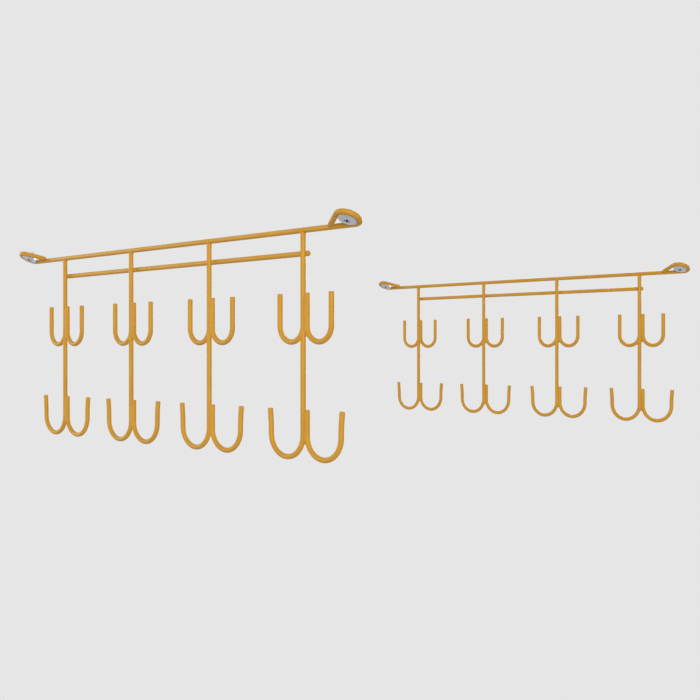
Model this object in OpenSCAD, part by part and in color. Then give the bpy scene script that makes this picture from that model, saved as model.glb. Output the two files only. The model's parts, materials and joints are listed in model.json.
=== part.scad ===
// Ceiling rod rack: a pair of like welded wire racks that hang from the ceiling, one behind
// the other. Lengths are in millimetres and angles in degrees.
// The origin is midway between the front rack's two screws, in the plane of the ceiling.
// +X runs along the rails, +Y from the front rack to the rear one, +Z up into the ceiling.

/* [Wire] */
// Diameter of the coated steel wire
wire_d = 6; // [5:0.5:7]
// Chamfer that rounds off each cut wire end
end_ease = 0.6; // [0.3:0.1:1]

/* [Racks] */
// Distance between the two racks, from rail to rail
rack_pitch = 800; // [400:10:1200]
// Distance between neighbouring uprights
upright_pitch = 158; // [150:1:200]
// Number of uprights on each rack
upright_count = 4; // [2:1:5]
// How far the brace rail lies below the top rail
brace_drop = 24.5; // [16:0.5:34]

/* [Upper hooks] */
// Drop from the top rail to the bottom of the upper hooks
upper_drop = 120.5; // [110:0.5:132]
// Bend radius of the upper hooks
upper_bend_r = 18; // [14:0.5:22]
// Straight length of the upper hooks' legs
upper_leg = 35; // [20:1:42]
// Angle at which an upper left hook's bend starts, where it is cut to the upright
cope_angle = 22; // [18:1:28]

/* [Lower hooks] */
// Drop from the top rail to the bottom of the lower hooks
lower_drop = 246; // [236:0.5:280]
// Bend radius of the lower hooks
lower_bend_r = 25; // [20:0.5:30]
// Length of the lower hooks' outer legs, along the wire
lower_leg = 27.5; // [15:0.5:36]
// Radius at which those legs curve outward as they rise
lower_lean_r = 220; // [150:10:400]

/* [Eyes] */
// Distance from the last upright to the middle of the eye
eye_overhang = 76; // [68:1:90]
// Bend radius of the eye
eye_bend_r = 12.5; // [12:0.5:15]
// Tilt of the eye about the rail, with its open side up
eye_tilt = 25; // [0:1:35]

/* [Fasteners] */
// Diameter of the screw shank
screw_d = 6; // [5:0.5:6.5]
// Length of the screw, from the rim of its head to its tip
screw_length = 50; // [40:1:70]
// Diameter of the screw head
head_d = 12; // [11:0.5:13]
// Height of the dome on the screw head
head_dome = 1.6; // [1:0.1:2]
// Radial clearance of the screw in its washer
shank_clearance = 0.25; // [0.15:0.05:0.5]
// How far below the middle of the wire the cup washer bears, as an angle
seat_angle = 30; // [25:1:35]

/* [Hidden] */
rack_names = ["front", "rear"];

$fn = 48;
// Wires that are welded side by side, and parts that seat on each other, meet this closely
seat_gap = 0.05;
coat = [0.83, 0.61, 0.25];
zinc = [0.78, 0.80, 0.84];

wire_r = wire_d / 2;
beside = wire_d + seat_gap;
first_upright_x = -(upright_count - 1) / 2 * upright_pitch;
eye_x = -first_upright_x + eye_overhang;

// The eyes' highest points touch the ceiling, and the screws' axes cross it at y = 0
eye_top = 2 * eye_bend_r * sin(eye_tilt) + wire_r;
rail_z = -eye_top;
rail_y = eye_bend_r * cos(eye_tilt) - (eye_top - eye_bend_r * sin(eye_tilt)) * tan(eye_tilt);

// The upright stops short of the rail's middle, so that its coped end keeps some thickness
upright_top = -0.4 * wire_r;
lower_bend_z = lower_bend_r - lower_drop;
upper_bend_z = upper_bend_r - upper_drop;
// The inner leg of a lower hook ends level with its outer tip
lower_lean = lower_leg / lower_lean_r * 180 / PI;
lower_inner_leg = lower_lean_r * sin(lower_lean);

// The tail of the eye falls 3 in 4, and ends where its lower corner bites into the rail
tail_fall = 3;
tail_run = 4;
tail_angle = atan2(tail_fall, tail_run);
tail_bite = 0.4;
tail_from = 90 + tail_angle;
tail_start_v = eye_bend_r * (1 + sin(tail_from));
tail_end_v = wire_r * (1 + cos(tail_angle)) - tail_bite;
tail_length = (tail_start_v - tail_end_v) / sin(tail_angle);

// Cup washer, in the eye's own frame: z = 0 is the middle of the wire, +z is the head's side
washer_back = -0.3;
washer_face = wire_r - 0.1;
washer_rim = 0.7;
seat_reach = wire_r + seat_gap;
seat_r = eye_bend_r - seat_reach * cos(seat_angle);
seat_z = seat_reach * sin(seat_angle);
bore_land = 0.1;

// Screw: its head's cone is 90 degrees wide and lies in the washer's countersink
head_r = head_d / 2;
head_rim_z = washer_face - 0.2;
countersink_gap = seat_gap * sqrt(2);
// The washer's bore clears the shank, and keeps a land where the countersink runs out
washer_bore_r = max(screw_d / 2 + shank_clearance, countersink_r(washer_back) + bore_land);
dome_r = (head_r * head_r + head_dome * head_dome) / (2 * head_dome);
tip_length = 9;
tip_r = 0.3;
recess_width = 1.5;
recess_length = 7.6;
recess_depth = 2.2;

function upright_x(i) = first_upright_x + (i - 1) * upright_pitch;
function washer_r(z) = seat_r + (z - seat_z) * tan(seat_angle);
function countersink_r(z) = head_r + z - head_rim_z + countersink_gap;

// Straight wire that runs up from the origin, with its free end eased or left square
module wire_leg(length, ease = end_ease) {
    cylinder(h = length - ease, r = wire_r);
    if (ease > 0)
        translate([0, 0, length - ease])
            cylinder(h = ease, r1 = wire_r, r2 = wire_r - ease);
}

// Wire bent round the z axis, from the +x side on
module wire_bend(radius, sweep) {
    rotate_extrude(angle = sweep) translate([radius, 0]) circle(r = wire_r);
}

// Leg that runs up from the origin and curves over towards +x, with its free end eased
module leaning_leg(length, lean_r) {
    lean = length / lean_r * 180 / PI;
    spare = 0.5;
    difference() {
        translate([lean_r, 0, 0]) rotate([90, 0, 180]) wire_bend(lean_r, lean);
        translate([lean_r * (1 - cos(lean)), 0, lean_r * sin(lean)])
            rotate([0, lean, 0])
                rotate_extrude()
                    polygon([
                        [wire_r - end_ease - spare, spare],
                        [wire_r + spare, -end_ease - spare],
                        [wire_r + spare, spare],
                    ]);
    }
}

// Hook that opens upward: down the inner leg at x = 0, round the bend and up the outer leg
module hook(radius, inner, outer, lean_r = 0, inner_ease = end_ease, bend_from = 0) {
    if (inner > 0) wire_leg(inner, inner_ease);
    translate([radius, 0, 0]) rotate([-90, 0, 0]) wire_bend(radius, 180 - bend_from);
    translate([2 * radius, 0, 0]) {
        if (lean_r > 0) leaning_leg(outer, lean_r);
        else wire_leg(outer);
    }
}

module in_rack(rack) {
    translate([0, rail_y + rack * rack_pitch, rail_z]) children();
}

// Places its children at each eye's middle, with +z square to the eye on the head's side
module at_eyes(rack) {
    in_rack(rack)
        for (side = [0, 1])
            mirror([side, 0, 0])
                translate([eye_x, 0, 0])
                    rotate([180 - eye_tilt, 0, 0])
                        translate([0, eye_bend_r, 0]) children();
}

// All that lies on the -x side of the eye's middle
module left_of_eye() {
    reach = 2 * eye_bend_r;
    translate([-reach, -reach, -reach]) cube([reach, 2 * reach, 2 * reach]);
}

// Bend that starts at the rail's end, and a straight tail that runs back to the rail
module eye() {
    difference() {
        wire_bend(eye_bend_r, 360);
        intersection() {
            left_of_eye();
            rotate([0, 0, tail_angle]) left_of_eye();
        }
    }
    translate(eye_bend_r * [cos(tail_from), sin(tail_from), 0])
        rotate([0, 90, 180 + tail_angle]) wire_leg(tail_length);
}

// One wire with a tilted teardrop eye bent in each end
module top_rail(rack) {
    color(coat) {
        in_rack(rack)
            translate([-eye_x, 0, 0]) rotate([0, 90, 0]) cylinder(h = 2 * eye_x, r = wire_r);
        at_eyes(rack) eye();
    }
}

// Lies behind the uprights and ends flush with the outer ones
module brace_rail(rack) {
    half_length = wire_r - first_upright_x;
    color(coat)
        in_rack(rack)
            translate([0, beside, -brace_drop])
                for (side = [0, 1])
                    mirror([side, 0, 0]) rotate([0, 90, 0]) wire_leg(half_length);
}

// Upright whose foot is bent round into the lower left hook; its top is coped to the rail
module upright(rack, i) {
    color(coat)
        in_rack(rack)
            translate([upright_x(i), 0, 0])
                difference() {
                    translate([0, 0, lower_bend_z])
                        mirror([1, 0, 0])
                            hook(lower_bend_r, upright_top - lower_bend_z, lower_leg,
                                 lean_r = lower_lean_r, inner_ease = 0);
                    translate([-wire_d, 0, 0])
                        rotate([0, 90, 0]) cylinder(h = 2 * wire_d, r = wire_r + seat_gap);
                }
}

module lower_hook(rack, i) {
    color(coat)
        in_rack(rack)
            translate([upright_x(i) + beside, 0, lower_bend_z])
                hook(lower_bend_r, lower_inner_leg, lower_leg, lean_r = lower_lean_r);
}

// Its inner end has no leg and is coped to the side of the upright
module upper_left_hook(rack, i) {
    color(coat)
        in_rack(rack)
            translate([upright_x(i), 0, upper_bend_z])
                difference() {
                    mirror([1, 0, 0])
                        hook(upper_bend_r, 0, upper_leg, bend_from = cope_angle);
                    translate([0, 0, -upper_bend_r])
                        cylinder(h = 2 * upper_bend_r, r = wire_r + seat_gap);
                }
}

module upper_right_hook(rack, i) {
    color(coat)
        in_rack(rack)
            translate([upright_x(i) + beside, 0, upper_bend_z])
                hook(upper_bend_r, upper_leg, upper_leg);
}

// Conical washer that wedges into the eye and takes the screw's countersunk head
module cup_washers(rack) {
    sink_at_bore = washer_bore_r + head_rim_z - head_r - countersink_gap;
    sink_at_face = countersink_r(washer_face);
    rim_z = washer_face - washer_rim;
    rim_r = washer_r(rim_z);
    color(zinc)
        at_eyes(rack)
            rotate_extrude()
                polygon([
                    [washer_bore_r, washer_back],
                    [washer_r(washer_back), washer_back],
                    [rim_r, rim_z],
                    [rim_r, washer_face - washer_rim / 2],
                    [rim_r - washer_rim / 2, washer_face],
                    [sink_at_face, washer_face],
                    [washer_bore_r, sink_at_bore],
                ]);
}

// Raised countersunk head with a cross recess, on a shank that runs up into the ceiling
module screws(rack) {
    shank_r = screw_d / 2;
    tip_z = head_rim_z - screw_length;
    cone_from_r = shank_r - 0.5;
    cone_from_z = head_rim_z - head_r + cone_from_r;
    cone_h = head_r - cone_from_r + head_dome;
    color(zinc)
        at_eyes(rack)
            difference() {
                union() {
                    intersection() {
                        translate([0, 0, head_rim_z + head_dome - dome_r]) sphere(r = dome_r);
                        translate([0, 0, cone_from_z])
                            cylinder(h = cone_h, r1 = cone_from_r, r2 = cone_from_r + cone_h);
                    }
                    rotate_extrude()
                        polygon([
                            [0, tip_z],
                            [tip_r, tip_z],
                            [shank_r, tip_z + tip_length],
                            [shank_r, head_rim_z - 1],
                            [0, head_rim_z - 1],
                        ]);
                }
                translate([0, 0, head_rim_z + head_dome - recess_depth])
                    for (turn = [45, 135])
                        rotate([0, 0, turn])
                            translate([-recess_length / 2, -recess_width / 2, 0])
                                cube([recess_length, recess_width, recess_depth + 1]);
            }
}

for (r = [0, 1]) {
    rack = rack_names[r];
    top_rail(r);
    brace_rail(r);
    for (i = [1:upright_count]) {
        upright(r, i);
        lower_hook(r, i);
        upper_left_hook(r, i);
        upper_right_hook(r, i);
    }
    cup_washers(r);
    screws(r);
}
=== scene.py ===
# Finishes the ceiling rod rack: powder coat, weld fillets and zinc-plated fasteners, with a
# studio round it. Lengths are in metres and angles in radians, unless a name says otherwise.
import json
import math

import bmesh
import bpy
from mathutils import Matrix, Vector

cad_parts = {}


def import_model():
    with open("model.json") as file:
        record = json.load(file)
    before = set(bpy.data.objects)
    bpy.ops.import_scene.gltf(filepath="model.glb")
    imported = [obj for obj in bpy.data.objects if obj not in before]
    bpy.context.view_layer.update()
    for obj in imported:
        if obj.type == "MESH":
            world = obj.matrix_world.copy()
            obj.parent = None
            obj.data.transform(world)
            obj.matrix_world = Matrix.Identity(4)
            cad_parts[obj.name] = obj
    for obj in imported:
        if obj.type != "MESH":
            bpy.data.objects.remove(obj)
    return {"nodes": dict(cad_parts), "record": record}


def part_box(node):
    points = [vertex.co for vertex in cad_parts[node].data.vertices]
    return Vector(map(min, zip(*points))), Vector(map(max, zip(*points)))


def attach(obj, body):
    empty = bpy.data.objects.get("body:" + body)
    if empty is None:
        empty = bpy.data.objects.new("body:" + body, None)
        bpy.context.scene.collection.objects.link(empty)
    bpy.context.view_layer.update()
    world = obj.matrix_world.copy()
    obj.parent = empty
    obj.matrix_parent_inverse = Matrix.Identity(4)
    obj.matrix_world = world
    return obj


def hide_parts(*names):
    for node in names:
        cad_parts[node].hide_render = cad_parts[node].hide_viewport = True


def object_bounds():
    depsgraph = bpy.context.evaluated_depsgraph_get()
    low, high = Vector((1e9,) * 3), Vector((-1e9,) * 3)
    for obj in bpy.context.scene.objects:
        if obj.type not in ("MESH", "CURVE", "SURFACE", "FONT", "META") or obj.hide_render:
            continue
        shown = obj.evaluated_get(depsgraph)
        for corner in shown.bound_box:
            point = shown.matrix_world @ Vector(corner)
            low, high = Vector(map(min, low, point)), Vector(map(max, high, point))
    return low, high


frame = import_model()
cad_low, cad_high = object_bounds()

MM = 0.001
RACKS = ("front", "rear")
SIDES = (-1, 1)

# Bends, as the wires have them
LOWER_BEND_R = 25 * MM
UPPER_BEND_R = 18 * MM
J_END_ANGLE = math.radians(22)
TAIL_FALL, TAIL_RUN = 3, 4

# Fillets that the weld metal and the coat leave where wires meet
TEE_FILLET = 1.3 * MM
CROSS_FILLET = 1.0 * MM
CROSS_FILLET_AT_END = 0.45 * MM
SEAM_FILLET = 2.0 * MM
SEAM_FILLET_AT_TOP = 0.25 * MM
SEAM_FADE = 4 * MM
J_FILLET = 1.3 * MM
TAIL_FILLET = 1.2 * MM
TAIL_FILLET_AT_END = 0.15 * MM
FILLET_SINK = 0.3 * MM
SEAM_BELOW_LEG_TOP = 1 * MM

# How far the ball that makes a fillet rolls to each side, and in how many steps
TEE_SWEEP = 1.45
J_SWEEP = math.radians(83)
TAIL_SWEEP = 0.55
TEE_STEPS = 36
CROSS_STEPS = 64
SEAM_LEG_STEPS = 24
SEAM_BOTTOM_STEPS = 32
J_FILLET_STEPS = 40
TAIL_STEPS = 20
FILLET_ARC_STEPS = 8

# The tube that an upper left hook ends in
J_STUB_FROM = math.radians(1)
J_STUB_STEPS = 10
J_STUB_SIDES = 40

# Screws, in the eye's own frame: z = 0 is the middle of the wire, +z is the head's side
HEAD_R = 6 * MM
HEAD_DOME = 1.6 * MM
HEAD_BELOW_WIRE_TOP = 0.3 * MM
HEAD_RIM = 0.15 * MM
DOME_FIRST_ANGLE = 0.02
DOME_STEPS = 14
SCREW_LENGTH = 50 * MM
SHANK_R = 2.9 * MM
THREAD_R = 3.0 * MM
THREAD_CORE_R = 2.05 * MM
THREAD_PITCH = 2.6 * MM
THREAD_FROM = -9 * MM
THREAD_HALF_WIDTH_IN_TURNS = 0.24
TIP_LENGTH = 9 * MM
TIP_R = 0.1 * MM
CORE_TAPER_POWER = 0.8
SHANK_ROW_INSET = 1 * MM
ROWS_PER_TURN = 12
SCREW_SIDES = 36

# Cross recess: depth from above the head's dome, and each wedge's half length and half width
RECESS_ABOVE_DOME = 0.5 * MM
RECESS_DEPTH = 3.0 * MM
RECESS_TOP = (4.2 * MM, 1.1 * MM)
RECESS_BOTTOM = (2.0 * MM, 0.7 * MM)
CUT_SLIVER = 0.005 * MM

# Camera that takes in what the photograph's does, at 700 by 700 pixels
PHOTO_SIZE = 700
FOCAL_PIXELS = 971.7
HORIZON_ROW = 351.6
SENSOR_MM = 36.0
CAMERA_PLACE = Vector((0.9809, -0.7333, -0.1445))
CAMERA_TURN = math.radians(42.36)

# Ceiling and floor of the studio. The floor glows a little, to come near the background, and runs
# out into it between the two distances.
CEILING_Z = 0.02 * MM
CEILING_HALF_SIZE = 2.5
FLOOR_Z = -2.4
FLOOR_HALF_SIZE = 60.0
FLOOR_GLOW = 0.16
FLOOR_FADE = (1.5, 4.5)

# Light of the surroundings, and lamps as name, place, diameter and power in watts
WORLD_STRENGTH = 0.3
LAMPS = (
    ("key", (3.4, -3.0, 0.7), 2.2, 140),
    ("fill", (-3.0, -1.4, 0.5), 2.4, 36),
    ("back", (-0.8, 4.2, 0.9), 2.4, 84),
)

# Colours in screen values from 0 to 255: the two that each finish drifts between, and the studio's
COAT_TONES = ((211, 154, 54), (219, 163, 62))
ZINC_TONES = ((181, 185, 198), (203, 205, 213))
# The recess's tones are painted shade: a dark bluish colour put where the recess lies in shade
PAINTED_SHADE_TONES = ((58, 74, 104), (84, 100, 130))
STUDIO_COLOUR = (230, 230, 230)

# Tint of the coat's sheen, as fine metallic flakes would give it
COAT_SHEEN = (1.0, 0.6, 0.1, 1.0)

# Range that most of a noise's values are in
NOISE_RANGE = (0.3, 0.7)


def srgb(colour):
    """A colour given in screen values from 0 to 255, as the shader wants it."""
    def linear(value):
        share = value / 255
        return share / 12.92 if share <= 0.04045 else ((share + 0.055) / 1.055) ** 2.4
    return (*map(linear, colour), 1.0)


class Rack:
    """Places of one rack's wires, read from the frame."""

    def __init__(self, name):
        self.name = name
        rail_low, rail_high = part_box(name + "_top_rail")
        brace_low, brace_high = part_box(name + "_brace_rail")
        self.wire_r = (brace_high.z - brace_low.z) / 2
        self.rail_y = rail_high.y - self.wire_r
        self.rail_z = rail_low.z + self.wire_r
        self.brace_z = brace_low.z + self.wire_r
        self.brace_y = brace_low.y + self.wire_r
        mount = next(m for m in frame["record"]["mounts"] if m["name"] == name + "_ceiling_screws")
        self.eye_x = mount["dims"]["pcd_mm"] * MM / 2
        self.eye_tilt = math.atan2(mount["axis"][1], mount["axis"][2])
        self.eye_r = rail_high.x - self.eye_x - self.wire_r
        self.count = sum(n.startswith(name + "_upright_") for n in frame["nodes"])

    def upright_x(self, i):
        """Where the axis of upright i stands."""
        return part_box(f"{self.name}_upright_{i}")[1].x - self.wire_r

    def eye_frame(self, side, mirrored):
        """Frame of one eye, with its middle at the origin and +z square to it."""
        place = Matrix.Translation((0, self.rail_y, self.rail_z))
        if mirrored and side < 0:
            place @= Matrix.Scale(-1, 4, (1, 0, 0))
            side = 1
        place @= Matrix.Translation((side * self.eye_x, 0, 0))
        place @= Matrix.Rotation(math.pi - self.eye_tilt, 4, "X")
        return place @ Matrix.Translation((0, self.eye_r, 0))


# Materials

def shader(name):
    """A new material, with its node tree and its main shader."""
    material = bpy.data.materials.new(name)
    material.use_nodes = True
    tree = material.node_tree
    return material, tree, tree.nodes["Principled BSDF"]


def noise(tree, *, scale, detail=2.0):
    """Noise in the object's own metres."""
    place = tree.nodes.new("ShaderNodeTexCoord")
    texture = tree.nodes.new("ShaderNodeTexNoise")
    texture.inputs["Scale"].default_value = scale
    texture.inputs["Detail"].default_value = detail
    tree.links.new(place.outputs["Object"], texture.inputs["Vector"])
    return texture.outputs["Fac"]


def ramp(tree, value, tones):
    """Colour between two tones, as the value goes through the noise's usual range."""
    blend = tree.nodes.new("ShaderNodeValToRGB")
    for element, position, colour in zip(blend.color_ramp.elements, NOISE_RANGE, tones):
        element.position = position
        element.color = srgb(colour)
    tree.links.new(value, blend.inputs["Fac"])
    return blend.outputs["Color"]


def spread(tree, value, *, low, high):
    """Number between low and high, as the value goes through the noise's usual range."""
    node = tree.nodes.new("ShaderNodeMapRange")
    node.inputs["From Min"].default_value, node.inputs["From Max"].default_value = NOISE_RANGE
    node.inputs["To Min"].default_value = low
    node.inputs["To Max"].default_value = high
    tree.links.new(value, node.inputs["Value"])
    return node.outputs["Result"]


def bump(tree, height, *, distance, strength, under=None):
    """Normal bent by a height from 0 to 1 times the distance, over another bump if one is given."""
    node = tree.nodes.new("ShaderNodeBump")
    node.inputs["Distance"].default_value = distance
    node.inputs["Strength"].default_value = strength
    tree.links.new(height, node.inputs["Height"])
    if under:
        tree.links.new(under, node.inputs["Normal"])
    return node.outputs["Normal"]


def powder_coat():
    """Satin golden powder coat with fine orange peel, a faint drift in its tone and a golden sheen."""
    material, tree, main = shader("powder_coat")
    tone = ramp(tree, noise(tree, scale=38, detail=3), COAT_TONES)
    roughness = spread(tree, noise(tree, scale=120), low=0.4, high=0.48)
    waves = bump(tree, noise(tree, scale=240), distance=0.1 * MM, strength=0.1)
    grain = bump(tree, noise(tree, scale=700), distance=0.02 * MM, strength=0.08, under=waves)
    tree.links.new(tone, main.inputs["Base Color"])
    tree.links.new(roughness, main.inputs["Roughness"])
    tree.links.new(grain, main.inputs["Normal"])
    main.inputs["IOR"].default_value = 1.5
    main.inputs["Specular Tint"].default_value = COAT_SHEEN
    return material


def zinc_plate():
    """Satin zinc with a cool tint, clouded here and there by its passivation."""
    material, tree, main = shader("zinc_plate")
    tone = ramp(tree, noise(tree, scale=420, detail=4), ZINC_TONES)
    roughness = spread(tree, noise(tree, scale=900, detail=4), low=0.38, high=0.52)
    grain = bump(tree, noise(tree, scale=2600, detail=3), distance=0.02 * MM, strength=0.3)
    tree.links.new(tone, main.inputs["Base Color"])
    tree.links.new(roughness, main.inputs["Roughness"])
    tree.links.new(grain, main.inputs["Normal"])
    main.inputs["Metallic"].default_value = 1.0
    return material


def recess_shade_plating():
    """Rougher plating in a recess, where the zinc comes out thinner; its dark bluish tones are painted
    shade.
    """
    material, tree, main = shader("recess_shade_plating")
    tone = ramp(tree, noise(tree, scale=700, detail=3), PAINTED_SHADE_TONES)
    roughness = spread(tree, noise(tree, scale=1200, detail=3), low=0.5, high=0.7)
    tree.links.new(tone, main.inputs["Base Color"])
    tree.links.new(roughness, main.inputs["Roughness"])
    main.inputs["Metallic"].default_value = 0.6
    return material


# Meshes

def linked(name, data):
    """A new object, in the scene."""
    made = bpy.data.objects.new(name, data)
    bpy.context.scene.collection.objects.link(made)
    return made


def mesh_of(name, bm):
    """A new mesh from a finished bmesh, which is freed."""
    mesh = bpy.data.meshes.new(name)
    bm.to_mesh(mesh)
    bm.free()
    return mesh


def piece(name, bm, material):
    """Turns a finished bmesh into a piece of the object."""
    mesh = mesh_of(name, bm)
    mesh.materials.append(material)
    made = linked(name, mesh)
    smooth(mesh)
    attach(made, "root")
    return made


def smooth(mesh, sharp_degrees=35):
    """Smooth shading, with edges kept sharp where faces meet at more than the angle."""
    mesh.shade_smooth()
    mesh.set_sharp_from_angle(angle=math.radians(sharp_degrees))


def turn_outwards(bm, faces):
    """Turns the faces of one closed shell outwards, by the sign of its volume."""
    bmesh.ops.recalc_face_normals(bm, faces=faces)
    start = faces[0].verts[0].co.copy()
    volume = 0.0
    for face in faces:
        first, *others = [vertex.co - start for vertex in face.verts]
        volume += sum(first.dot(a.cross(b)) for a, b in zip(others, others[1:]))
    if volume < 0:
        bmesh.ops.reverse_faces(bm, faces=faces)


def skin(bm, rings, closed=False):
    """Shell through rings of equal count, with flat ends unless the last ring meets the first."""
    rows = [[bm.verts.new(point) for point in ring] for ring in rings]
    pairs = list(zip(rows, rows[1:]))
    faces = []
    if closed:
        pairs.append((rows[-1], rows[0]))
    else:
        faces = [bm.faces.new(rows[0]), bm.faces.new(rows[-1])]
    for one, two in pairs:
        for j in range(len(one)):
            k = (j + 1) % len(one)
            faces.append(bm.faces.new((one[j], one[k], two[k], two[j])))
    turn_outwards(bm, faces)


def fillet(bm, place, wire_r, balls, near_a, near_b, closed=False):
    """Fillet that a ball leaves as it rolls along two wires.

    balls are the places of its middle, and near_a and near_b give the nearest point on each
    wire's axis. Each ring is the arc that faces the joint, closed inside the two wires."""
    rings = []
    for ball in balls:
        touches, cores = [], []
        for near in (near_a, near_b):
            axis = near(ball)
            out = (ball - axis).normalized()
            touches.append(axis + out * wire_r)
            cores.append(axis + out * (wire_r - FILLET_SINK))
        first, last = touches[0] - ball, touches[1] - ball
        ring = []
        for share in span(0, 1, FILLET_ARC_STEPS):
            turned = first.normalized().slerp(last.normalized(), share)
            ring.append(ball + turned * (first.length + (last.length - first.length) * share))
        rings.append([place @ point for point in ring + [cores[1], cores[0]]])
    skin(bm, rings, closed)


def span(low, high, steps):
    """Evenly spaced values from low to high, both included."""
    return [low + (high - low) * k / steps for k in range(steps + 1)]


def on_upright(point):
    """Nearest point on an upright that stands on the origin."""
    return Vector((0, 0, point.z))


def on_circle(middle_x, radius):
    """Nearest point on an upright circle whose middle is at that x."""
    def near(point):
        middle = Vector((middle_x, 0, 0))
        flat = Vector((point.x, 0, point.z)) - middle
        return middle + flat.normalized() * radius
    return near


def leg_and_bend(x, middle_x, radius):
    """Nearest point on a leg that stands at x and turns into a bend below z = 0."""
    bend = on_circle(middle_x, radius)
    return lambda point: bend(point) if point.z < 0 else Vector((x, 0, point.z))


# Welds

def tee_weld(bm, rack, x):
    """Fillets under the top rail, on both sides of an upright's end."""
    place = Matrix.Translation((x, rack.rail_y, rack.rail_z))
    reach = rack.wire_r + TEE_FILLET
    for side in SIDES:
        balls = [
            Vector((side * reach * math.cos(a), reach * math.sin(a), -reach * math.cos(a)))
            for a in span(-TEE_SWEEP, TEE_SWEEP, TEE_STEPS)
        ]
        fillet(bm, place, rack.wire_r, balls, on_upright, lambda p: Vector((p.x, 0, 0)))


def cross_weld(bm, rack, x, end_side):
    """Fillet round the spot where the brace rail crosses behind an upright.

    end_side tells on which side the brace rail ends there, or 0."""
    apart = rack.brace_y - rack.rail_y
    balls = []
    for a in span(0, 2 * math.pi, CROSS_STEPS)[:-1]:
        toward_end = max(0.0, end_side * math.cos(a))
        radius = CROSS_FILLET + (CROSS_FILLET_AT_END - CROSS_FILLET) * toward_end
        reach = rack.wire_r + radius
        y = apart / 2 - (reach - apart / 2) * math.cos(2 * a)
        balls.append(Vector((
            math.copysign(math.sqrt(max(0.0, reach**2 - y**2)), math.cos(a)),
            y,
            math.copysign(math.sqrt(max(0.0, reach**2 - (apart - y) ** 2)), math.sin(a)),
        )))

    def on_brace(point):
        return Vector((point.x, apart, 0))

    place = Matrix.Translation((x, rack.rail_y, rack.brace_z))
    fillet(bm, place, rack.wire_r, balls, on_upright, on_brace, closed=True)


def seam_balls(rack, beside, leg_top, bottom):
    """Places of the ball down the front of a seam, round its bottom and up its back."""
    def straight(z):
        fade = min(1.0, (leg_top - z) / SEAM_FADE)
        radius = SEAM_FILLET_AT_TOP + (SEAM_FILLET - SEAM_FILLET_AT_TOP) * fade
        return math.sqrt((rack.wire_r + radius) ** 2 - (beside / 2) ** 2)

    down = [Vector((beside / 2, -straight(z), z)) for z in span(leg_top, 0, SEAM_LEG_STEPS)]
    up = [Vector((v.x, -v.y, v.z)) for v in reversed(down)]
    return down[:-1] + bottom + up[1:]


def upper_seam_weld(bm, rack, i, x):
    """Fillet between an upright and the inner leg of its upper right hook."""
    low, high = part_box(f"{rack.name}_upper_right_hook_{i}")
    beside = low.x + rack.wire_r - x
    bend_z = low.z + rack.wire_r + UPPER_BEND_R
    reach = rack.wire_r + SEAM_FILLET
    start = math.acos(beside / 2 / reach)
    bottom = []
    for a in span(-start, start, SEAM_BOTTOM_STEPS):
        ball_x = reach * math.cos(a)
        drop = max(0.0, (2 * UPPER_BEND_R + beside) * (2 * ball_x - beside))
        bottom.append(Vector((ball_x, reach * math.sin(a), -math.sqrt(drop))))
    balls = seam_balls(rack, beside, high.z - SEAM_BELOW_LEG_TOP - bend_z, bottom)
    hook = leg_and_bend(beside, beside + UPPER_BEND_R, UPPER_BEND_R)
    place = Matrix.Translation((x, rack.rail_y, bend_z))
    fillet(bm, place, rack.wire_r, balls, on_upright, hook)


def lower_seam_weld(bm, rack, i, x):
    """Fillet between an upright and its lower right hook, which bend away from each other."""
    low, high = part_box(f"{rack.name}_lower_hook_{i}")
    beside = low.x + rack.wire_r - x
    bend_z = low.z + rack.wire_r + LOWER_BEND_R
    reach = rack.wire_r + SEAM_FILLET
    widest = math.sqrt(reach**2 - (beside / 2) ** 2)
    bottom = []
    for a in span(0, math.pi, SEAM_BOTTOM_STEPS):
        y = -widest * math.cos(a)
        off_axis = math.sqrt(reach**2 - y**2)
        drop = (LOWER_BEND_R + off_axis) ** 2 - (LOWER_BEND_R + beside / 2) ** 2
        bottom.append(Vector((beside / 2, y, -math.sqrt(max(0.0, drop)))))
    balls = seam_balls(rack, beside, high.z - SEAM_BELOW_LEG_TOP - bend_z, bottom)
    foot = leg_and_bend(0, -LOWER_BEND_R, LOWER_BEND_R)
    hook = leg_and_bend(beside, beside + LOWER_BEND_R, LOWER_BEND_R)
    place = Matrix.Translation((x, rack.rail_y, bend_z))
    fillet(bm, place, rack.wire_r, balls, foot, hook)


def j_weld(bm, rack, i, x):
    """End of an upper left hook, which runs out into its upright, and the fillet under it."""
    low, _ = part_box(f"{rack.name}_upper_left_hook_{i}")
    place = Matrix.Translation((x, rack.rail_y, low.z + rack.wire_r + UPPER_BEND_R))
    rings = []
    for a in span(J_STUB_FROM, J_END_ANGLE, J_STUB_STEPS):
        out = Vector((math.cos(a), 0, -math.sin(a)))
        axis = Vector((-UPPER_BEND_R, 0, 0)) + out * UPPER_BEND_R
        rings.append([
            place @ (axis + (out * math.cos(b) + Vector((0, math.sin(b), 0))) * rack.wire_r)
            for b in span(0, 2 * math.pi, J_STUB_SIDES)[:-1]
        ])
    skin(bm, rings)
    reach = rack.wire_r + J_FILLET
    balls = []
    for a in span(math.pi - J_SWEEP, math.pi + J_SWEEP, J_FILLET_STEPS):
        off_axis = -reach * math.cos(a)
        drop = 2 * math.sqrt(UPPER_BEND_R * off_axis)
        balls.append(Vector((-off_axis, reach * math.sin(a), -drop)))
    bend = on_circle(-UPPER_BEND_R, UPPER_BEND_R)
    fillet(bm, place, rack.wire_r, balls, on_upright, bend)


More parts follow.
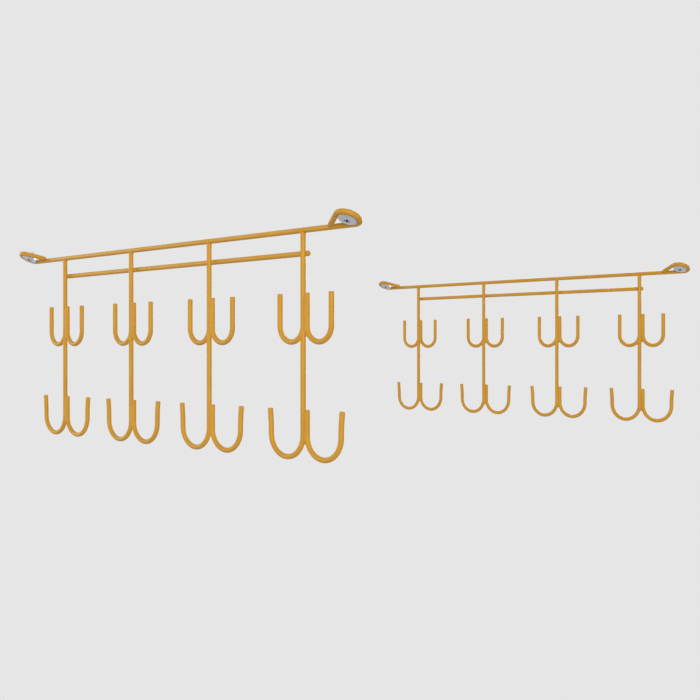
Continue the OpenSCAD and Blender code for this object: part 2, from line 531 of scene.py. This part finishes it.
def tail_weld(bm, rack, side):
    """Fillet in the corner where an eye's tail runs back to the rail."""
    slope = math.atan2(TAIL_FALL, TAIL_RUN)
    start = Vector((-math.sin(slope), math.cos(slope), 0)) * rack.eye_r
    along = Vector((-math.cos(slope), -math.sin(slope), 0))
    meeting = start + along * (start.y + rack.eye_r) / math.sin(slope)
    balls = []
    for a in span(-TAIL_SWEEP, TAIL_SWEEP, TAIL_STEPS):
        fullness = math.cos(a / TAIL_SWEEP * math.pi / 2)
        radius = TAIL_FILLET_AT_END + (TAIL_FILLET - TAIL_FILLET_AT_END) * fullness
        reach = rack.wire_r + radius
        height = reach * math.cos(a)
        balls.append(meeting + Vector((height / math.tan(slope / 2), height, reach * math.sin(a))))

    def on_rail(point):
        return Vector((point.x, -rack.eye_r, 0))

    def on_tail(point):
        return start + along * (point - start).dot(along)

    place = rack.eye_frame(side, mirrored=True)
    fillet(bm, place, rack.wire_r, balls, on_rail, on_tail)


def weld_rack(rack, coat):
    """All fillets of one rack: a piece for each upright, and one for each eye."""
    for i in range(1, rack.count + 1):
        bm = bmesh.new()
        x = rack.upright_x(i)
        tee_weld(bm, rack, x)
        cross_weld(bm, rack, x, end_side={1: -1, rack.count: 1}.get(i, 0))
        upper_seam_weld(bm, rack, i, x)
        lower_seam_weld(bm, rack, i, x)
        j_weld(bm, rack, i, x)
        piece(f"{rack.name}_upright_{i}_welds", bm, coat)
    for side, word in zip(SIDES, ("left", "right")):
        bm = bmesh.new()
        tail_weld(bm, rack, side)
        piece(f"{rack.name}_{word}_eye_weld", bm, coat)


# Fasteners

def screw_profile(wire_r):
    """Rows of the screw from its head's middle to its tip, as (z, radius, thread height)."""
    rim_z = wire_r - HEAD_BELOW_WIRE_TOP
    dome_r = (HEAD_R**2 + HEAD_DOME**2) / (2 * HEAD_DOME)
    dome_z = rim_z + HEAD_DOME - dome_r
    dome_reach = math.asin(HEAD_R / dome_r)
    rows = [
        (dome_z + dome_r * math.cos(a), dome_r * math.sin(a), 0)
        for a in span(DOME_FIRST_ANGLE, dome_reach, DOME_STEPS)
    ]
    rows.append((rim_z - HEAD_RIM, HEAD_R, 0))
    neck_z = rim_z - HEAD_RIM - (HEAD_R - SHANK_R)
    rows += [(z, SHANK_R, 0) for z in (neck_z, neck_z - SHANK_ROW_INSET, THREAD_FROM + SHANK_ROW_INSET)]
    tip_z = rim_z - SCREW_LENGTH
    turns = (THREAD_FROM - tip_z) / THREAD_PITCH
    for z in span(THREAD_FROM, tip_z, round(turns * ROWS_PER_TURN)):
        taper = min(1.0, (z - tip_z) / TIP_LENGTH)
        rise = min(1.0, (THREAD_FROM - z) / THREAD_PITCH)
        core = THREAD_CORE_R * taper**CORE_TAPER_POWER
        rows.append((z, max(core, TIP_R), (THREAD_R * taper - core) * rise if taper > 0 else 0))
    return rows


def thread_share(z, angle):
    """How high the thread stands there, from 0 to 1: a narrow ridge that climbs once a turn."""
    phase = (z / THREAD_PITCH + angle / (2 * math.pi)) % 1.0
    return max(0.0, 1.0 - abs(phase - 0.5) / THREAD_HALF_WIDTH_IN_TURNS)


def screw_mesh(bm, wire_r):
    """Shell of a screw, in the eye's own frame, before its recess is cut."""
    rings = []
    for z, radius, thread in screw_profile(wire_r):
        ring = []
        for a in span(0, 2 * math.pi, SCREW_SIDES)[:-1]:
            r = radius + max(0.0, thread) * thread_share(z, a)
            ring.append(Vector((r * math.cos(a), r * math.sin(a), z)))
        rings.append(ring)
    skin(bm, rings)


def recess_cutters(wire_r, materials):
    """Two crossed wedges that taper downwards, and leave the last material where they cut."""
    top_z = wire_r - HEAD_BELOW_WIRE_TOP + HEAD_DOME + RECESS_ABOVE_DOME
    levels = ((top_z, RECESS_TOP), (top_z - RECESS_DEPTH, RECESS_BOTTOM))
    cutters = []
    for turn in (math.pi / 4, 3 * math.pi / 4):
        bm = bmesh.new()
        spin = Matrix.Rotation(turn, 4, "Z")
        rings = []
        for z, (half_length, half_width) in levels:
            corners = ((1, 1), (-1, 1), (-1, -1), (1, -1))
            rings.append([spin @ Vector((u * half_length, v * half_width, z)) for u, v in corners])
        skin(bm, rings)
        mesh = mesh_of("recess", bm)
        for material in materials:
            mesh.materials.append(material)
        for face in mesh.polygons:
            face.material_index = len(materials) - 1
        cutters.append(linked("recess", mesh))
    return cutters


def merge_slivers(mesh):
    """Merges the slivers that a cut leaves."""
    bm = bmesh.new()
    bm.from_mesh(mesh)
    bmesh.ops.remove_doubles(bm, verts=bm.verts, dist=CUT_SLIVER)
    bm.to_mesh(mesh)
    bm.free()


def cut_recess(made, wire_r, place, shade_finish):
    """Cuts the cross recess into a screw's head."""
    # The recess's faces get the last material, whose dark colour is painted shade
    made.data.materials.append(shade_finish)
    cutters = recess_cutters(wire_r, list(made.data.materials))
    for cutter in cutters:
        cutter.matrix_world = place
        cut = made.modifiers.new("recess", "BOOLEAN")
        cut.operation = "DIFFERENCE"
        cut.solver = "EXACT"
        cut.object = cutter
    bpy.context.view_layer.update()
    evaluated = made.evaluated_get(bpy.context.evaluated_depsgraph_get())
    mesh = bpy.data.meshes.new_from_object(evaluated)
    merge_slivers(mesh)
    made.modifiers.clear()
    made.data = mesh
    for cutter in cutters:
        bpy.data.objects.remove(cutter)
    smooth(mesh, sharp_degrees=30)


def screws(rack, zinc, shade_finish):
    """Threaded screws with cross-recess heads, for the plain ones of the frame."""
    for side, word in zip(SIDES, ("left", "right")):
        place = rack.eye_frame(side, mirrored=False)
        bm = bmesh.new()
        screw_mesh(bm, rack.wire_r)
        bmesh.ops.transform(bm, matrix=place, verts=bm.verts)
        made = piece(f"{rack.name}_{word}_screw", bm, zinc)
        cut_recess(made, rack.wire_r, place, shade_finish)
        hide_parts(rack.name + "_screws")


# Studio

def stage_plane(name, half_size, z, material, flipped=False):
    """A square of the studio, which isn't part of the object. A flipped one faces down."""
    bm = bmesh.new()
    corners = [(-1, -1), (1, -1), (1, 1), (-1, 1)]
    if flipped:
        corners.reverse()
    bm.faces.new([bm.verts.new((u * half_size, v * half_size, 0)) for u, v in corners])
    made = linked(name, mesh_of(name, bm))
    made.location.z = z
    made.data.materials.append(material)
    material.cycles.emission_sampling = "NONE"
    return made


def ceiling(colour):
    """Pale ceiling that the camera sees from below only, and that lights nothing."""
    material, tree, main = shader("ceiling")
    tree.nodes.remove(main)
    pale_side = tree.nodes.new("ShaderNodeEmission")
    pale_side.inputs["Color"].default_value = colour
    clear_side = tree.nodes.new("ShaderNodeBsdfTransparent")
    sided = tree.nodes.new("ShaderNodeNewGeometry")
    mix = tree.nodes.new("ShaderNodeMixShader")
    tree.links.new(sided.outputs["Backfacing"], mix.inputs["Fac"])
    tree.links.new(pale_side.outputs["Emission"], mix.inputs[1])
    tree.links.new(clear_side.outputs["BSDF"], mix.inputs[2])
    tree.links.new(mix.outputs["Shader"], tree.nodes["Material Output"].inputs["Surface"])
    made = stage_plane("ceiling", CEILING_HALF_SIZE, CEILING_Z, material, flipped=True)
    made.visible_diffuse = made.visible_glossy = False
    made.visible_transmission = made.visible_shadow = False


def seen(tree):
    """1 for rays that show a thing to the camera, directly or in a reflection, and 0 for the rest."""
    rays = tree.nodes.new("ShaderNodeLightPath")
    either = rays.outputs["Is Camera Ray"]
    for kind in ("Is Glossy Ray", "Is Transmission Ray"):
        most = tree.nodes.new("ShaderNodeMath")
        most.operation = "MAXIMUM"
        tree.links.new(either, most.inputs[0])
        tree.links.new(rays.outputs[kind], most.inputs[1])
        either = most.outputs["Value"]
    return either


def glow(tree, colour, strength):
    """Light of a colour that is only seen and lights nothing."""
    level = tree.nodes.new("ShaderNodeMath")
    level.operation = "MULTIPLY"
    tree.links.new(seen(tree), level.inputs[0])
    level.inputs[1].default_value = strength
    made = tree.nodes.new("ShaderNodeEmission")
    made.inputs["Color"].default_value = colour
    tree.links.new(level.outputs["Value"], made.inputs["Strength"])
    return made.outputs["Emission"]


def floor(colour):
    """Pale floor that takes the object's shadow, and runs out into the background."""
    material, tree, main = shader("floor")
    main.inputs["Base Color"].default_value = colour
    main.inputs["Roughness"].default_value = 0.9
    main.inputs["Specular IOR Level"].default_value = 0.1
    lifted = tree.nodes.new("ShaderNodeAddShader")
    tree.links.new(main.outputs["BSDF"], lifted.inputs[0])
    tree.links.new(glow(tree, colour, FLOOR_GLOW), lifted.inputs[1])
    place = tree.nodes.new("ShaderNodeTexCoord")
    reach = tree.nodes.new("ShaderNodeVectorMath")
    reach.operation = "LENGTH"
    tree.links.new(place.outputs["Object"], reach.inputs[0])
    fade = tree.nodes.new("ShaderNodeMapRange")
    fade.interpolation_type = "SMOOTHSTEP"
    fade.inputs["From Min"].default_value, fade.inputs["From Max"].default_value = FLOOR_FADE
    tree.links.new(reach.outputs["Value"], fade.inputs["Value"])
    mix = tree.nodes.new("ShaderNodeMixShader")
    tree.links.new(fade.outputs["Result"], mix.inputs["Fac"])
    tree.links.new(lifted.outputs["Shader"], mix.inputs[1])
    tree.links.new(glow(tree, colour, 1.0), mix.inputs[2])
    tree.links.new(mix.outputs["Shader"], tree.nodes["Material Output"].inputs["Surface"])
    stage_plane("floor", FLOOR_HALF_SIZE, FLOOR_Z, material)


def world(colour, strength):
    """Pale background for the camera and for reflections, with its own strength as a light."""
    made = bpy.data.worlds.new("studio")
    bpy.context.scene.world = made
    made.use_nodes = True
    tree = made.node_tree
    lit = tree.nodes["Background"]
    lit.inputs["Color"].default_value = (1, 1, 1, 1)
    lit.inputs["Strength"].default_value = strength
    shown = tree.nodes.new("ShaderNodeBackground")
    shown.inputs["Color"].default_value = colour
    mix = tree.nodes.new("ShaderNodeMixShader")
    tree.links.new(seen(tree), mix.inputs["Fac"])
    tree.links.new(lit.outputs["Background"], mix.inputs[1])
    tree.links.new(shown.outputs["Background"], mix.inputs[2])
    tree.links.new(mix.outputs["Shader"], tree.nodes["World Output"].inputs["Surface"])


def area_light(name, place, size, power, target):
    """Round soft lamp that faces the target."""
    lamp = bpy.data.lights.new(name, "AREA")
    lamp.shape = "DISK"
    lamp.size = size
    lamp.energy = power
    made = linked(name, lamp)
    made.location = place
    made.rotation_mode = "QUATERNION"
    made.rotation_quaternion = (target - place).to_track_quat("-Z", "Y")


def camera():
    """Level camera at the photograph's place, with its angle of view."""
    data = bpy.data.cameras.new("camera")
    data.sensor_width = SENSOR_MM
    data.lens = SENSOR_MM * FOCAL_PIXELS / PHOTO_SIZE
    data.shift_y = (HORIZON_ROW - PHOTO_SIZE / 2) / PHOTO_SIZE
    made = linked("camera", data)
    made.location = CAMERA_PLACE
    made.rotation_euler = (math.pi / 2, 0, CAMERA_TURN)
    bpy.context.scene.camera = made


def dress(coat, zinc):
    """Gives every node of the frame its finish."""
    for name, node in frame["nodes"].items():
        node.data.materials.clear()
        node.data.materials.append(zinc if name.endswith(("_washers", "_screws")) else coat)


camera()
coat = powder_coat()
zinc = zinc_plate()
shade_finish = recess_shade_plating()
dress(coat, zinc)
for rack_name in RACKS:
    rack = Rack(rack_name)
    weld_rack(rack, coat)
    screws(rack, zinc, shade_finish)

pale = srgb(STUDIO_COLOUR)
ceiling(pale)
floor(pale)
world(pale, WORLD_STRENGTH)
for lamp_name, lamp_place, lamp_size, lamp_power in LAMPS:
    area_light(lamp_name, Vector(lamp_place), lamp_size, lamp_power, (cad_low + cad_high) / 2)
bpy.context.scene.view_settings.view_transform = "Standard"
